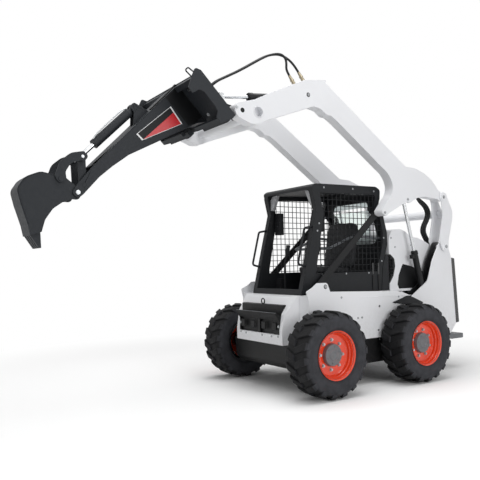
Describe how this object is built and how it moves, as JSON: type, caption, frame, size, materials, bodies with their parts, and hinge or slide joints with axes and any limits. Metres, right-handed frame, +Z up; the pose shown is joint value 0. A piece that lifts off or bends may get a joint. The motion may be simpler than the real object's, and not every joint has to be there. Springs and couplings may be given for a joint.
{
  "type": "skid steer loader with backhoe attachment",
  "caption": "Compact wheeled loader with raised vertical lift arms and a charcoal backhoe with a curling bucket pinned to its quick coupler.",
  "frame": {"origin": "on the ground under the centre of the bounding box", "axes": "+Z up, the machine drives towards -Y, +X to the machine's left"},
  "size_m": [1.772, 4.8547, 3.2417],
  "materials": {
    "white_paint": "satin white machine paint",
    "black_paint": "satin black paint",
    "charcoal_paint": "textured charcoal paint",
    "grey_paint": "grey paint",
    "wheel_orange": "gloss orange red paint",
    "tyre_rubber": "matt rubber",
    "hose_rubber": "hydraulic hose cover",
    "chrome_rod": "hard chrome",
    "black_plastic": "moulded fender",
    "window_glass": "clear glass",
    "seat_vinyl": "grained vinyl",
    "lamp_lens": "clear lamp lens in a grey housing",
    "red_lens": "red lens",
    "brass_fitting": "plated brass"
  },
  "bodies": {
    "chassis": {"chassis_tub": "white_paint", "front_step": "black_paint", "chaincase": "black_paint", "axle_stubs": "black_paint", "rear_towers": "white_paint", "rear_bumper": "grey_paint", "rear_fenders": "black_plastic", "cab_shell": "black_paint", "side_screens": "black_paint", "rear_glass": "window_glass", "work_lamps": "lamp_lens", "seat_cushion": "seat_vinyl", "lap_bar": "grey_paint", "cab_controls": "black_paint", "engine_block": "grey_paint", "engine_hood": "white_paint", "engine_side_screens": "black_paint", "lift_hoses": "hose_rubber"},
    "wheel_front_left": {"tyre_front_left": "tyre_rubber", "rim_front_left": "wheel_orange"},
    "wheel_front_right": {"tyre_front_right": "tyre_rubber", "rim_front_right": "wheel_orange"},
    "wheel_rear_left": {"tyre_rear_left": "tyre_rubber", "rim_rear_left": "wheel_orange"},
    "wheel_rear_right": {"tyre_rear_right": "tyre_rubber", "rim_rear_right": "wheel_orange"},
    "tailgate": {"tailgate": "white_paint", "tail_lamps": "red_lens"},
    "rear_links": {"rear_links": "white_paint"},
    "control_links": {"control_links": "black_paint"},
    "lift_arms": {"lift_arms": "white_paint", "hose_couplers": "brass_fitting", "attachment_hoses": "hose_rubber"},
    "lift_barrels": {"lift_barrels": "black_paint"},
    "lift_rods": {"lift_rods": "chrome_rod"},
    "tilt_barrels": {"tilt_barrels": "black_paint"},
    "tilt_rods": {"tilt_rods": "chrome_rod"},
    "attachment": {"quick_coupler": "charcoal_paint", "mounting_frame": "charcoal_paint", "boom": "charcoal_paint"},
    "bucket": {"bucket": "charcoal_paint"},
    "rocker": {"rocker": "charcoal_paint"},
    "bucket_links": {"bucket_links": "charcoal_paint"},
    "bucket_barrel": {"bucket_barrel": "charcoal_paint"},
    "bucket_rod": {"bucket_rod": "chrome_rod"}
  },
  "joints": [
    {"name": "lift", "type": "hinge", "parent": "rear_links", "child": "lift_arms", "pos_m": [0, 2.11435, 1.962], "axis": [1, 0, 0], "range_deg": [-3, 27.6], "deforming": ["lift_hoses"]},
    {"name": "rear_link_swing", "type": "hinge", "parent": "chassis", "child": "rear_links", "pos_m": [0, 2.12935, 1.4], "axis": [1, 0, 0], "range_deg": [-2.48, 22.45]},
    {"name": "control_link_swing", "type": "hinge", "parent": "chassis", "child": "control_links", "pos_m": [0, 0.32835, 1.012], "axis": [1, 0, 0], "range_deg": [-39.23, 4.31]},
    {"name": "lift_barrel_swing", "type": "hinge", "parent": "chassis", "child": "lift_barrels", "pos_m": [0, 1.88535, 0.6], "axis": [1, 0, 0], "range_deg": [-0.69, 5.94]},
    {"name": "lift_rod_slide", "type": "slide", "parent": "lift_barrels", "child": "lift_rods", "axis": [0, -0.2605, 0.9655], "range_m": [-0.4654, 0.0515]},
    {"name": "tilt", "type": "hinge", "parent": "lift_arms", "child": "attachment", "pos_m": [0, -0.60365, 2.618], "axis": [-1, 0, 0], "range_deg": [-8, 82], "deforming": ["attachment_hoses"]},
    {"name": "tilt_barrel_swing", "type": "hinge", "parent": "lift_arms", "child": "tilt_barrels", "pos_m": [0, 0.16435, 2.865], "axis": [-1, 0, 0], "range_deg": [-3.09, 0.39]},
    {"name": "tilt_rod_slide", "type": "slide", "parent": "tilt_barrels", "child": "tilt_rods", "axis": [0, -0.9936, -0.1129], "range_m": [-0.2476, 0.026]},
    {"name": "bucket_curl", "type": "hinge", "parent": "attachment", "child": "bucket", "pos_m": [0, -1.95041, 1.86662], "axis": [1, 0, 0], "range_deg": [-15, 100]},
    {"name": "rocker_swing", "type": "hinge", "parent": "attachment", "child": "rocker", "pos_m": [0, -1.89809, 1.92885], "axis": [1, 0, 0], "range_deg": [-13, 82]},
    {"name": "bucket_link_swing", "type": "hinge", "parent": "rocker", "child": "bucket_links", "pos_m": [0, -1.90869, 2.16714], "axis": [1, 0, 0], "range_deg": [-16, 3]},
    {"name": "bucket_barrel_swing", "type": "hinge", "parent": "attachment", "child": "bucket_barrel", "pos_m": [0, -1.39675, 2.66494], "axis": [1, 0, 0], "range_deg": [-1, 1]},
    {"name": "bucket_rod_slide", "type": "slide", "parent": "bucket_barrel", "child": "bucket_rod", "axis": [0, -0.7169, -0.6971], "range_m": [-0.05, 0.32]},
    {"name": "tailgate_swing", "type": "hinge", "parent": "chassis", "child": "tailgate", "pos_m": [-0.56, 2.33435, 0.9], "axis": [0, 0, 1], "range_deg": [0, 105]},
    {"name": "spin_front_left", "type": "hinge", "parent": "chassis", "child": "wheel_front_left", "pos_m": [0.732, 0.17435, 0.402], "axis": [1, 0, 0], "continuous": true},
    {"name": "spin_front_right", "type": "hinge", "parent": "chassis", "child": "wheel_front_right", "pos_m": [-0.732, 0.17435, 0.402], "axis": [1, 0, 0], "continuous": true},
    {"name": "spin_rear_left", "type": "hinge", "parent": "chassis", "child": "wheel_rear_left", "pos_m": [0.732, 1.40635, 0.402], "axis": [1, 0, 0], "continuous": true},
    {"name": "spin_rear_right", "type": "hinge", "parent": "chassis", "child": "wheel_rear_right", "pos_m": [-0.732, 1.40635, 0.402], "axis": [1, 0, 0], "continuous": true}
  ],
  "couplings": [
    {"joint": "rear_link_swing", "follows": "lift", "ratio": 0.81159},
    {"joint": "control_link_swing", "follows": "lift", "ratio": -1.4196},
    {"joint": "lift_barrel_swing", "follows": "lift", "ratio": 0.21341},
    {"joint": "lift_rod_slide", "follows": "lift", "m_per_rad": -0.96406},
    {"joint": "tilt_rod_slide", "follows": "tilt", "m_per_rad": -0.17161},
    {"joint": "tilt_barrel_swing", "follows": "tilt", "ratio": -0.036507},
    {"joint": "rocker_swing", "follows": "bucket_curl", "ratio": 0.807},
    {"joint": "bucket_link_swing", "follows": "bucket_curl", "ratio": -0.149},
    {"joint": "bucket_rod_slide", "follows": "bucket_curl", "m_per_rad": 0.17704},
    {"joint": "bucket_barrel_swing", "follows": "bucket_curl", "ratio": -0.004}
  ]
}
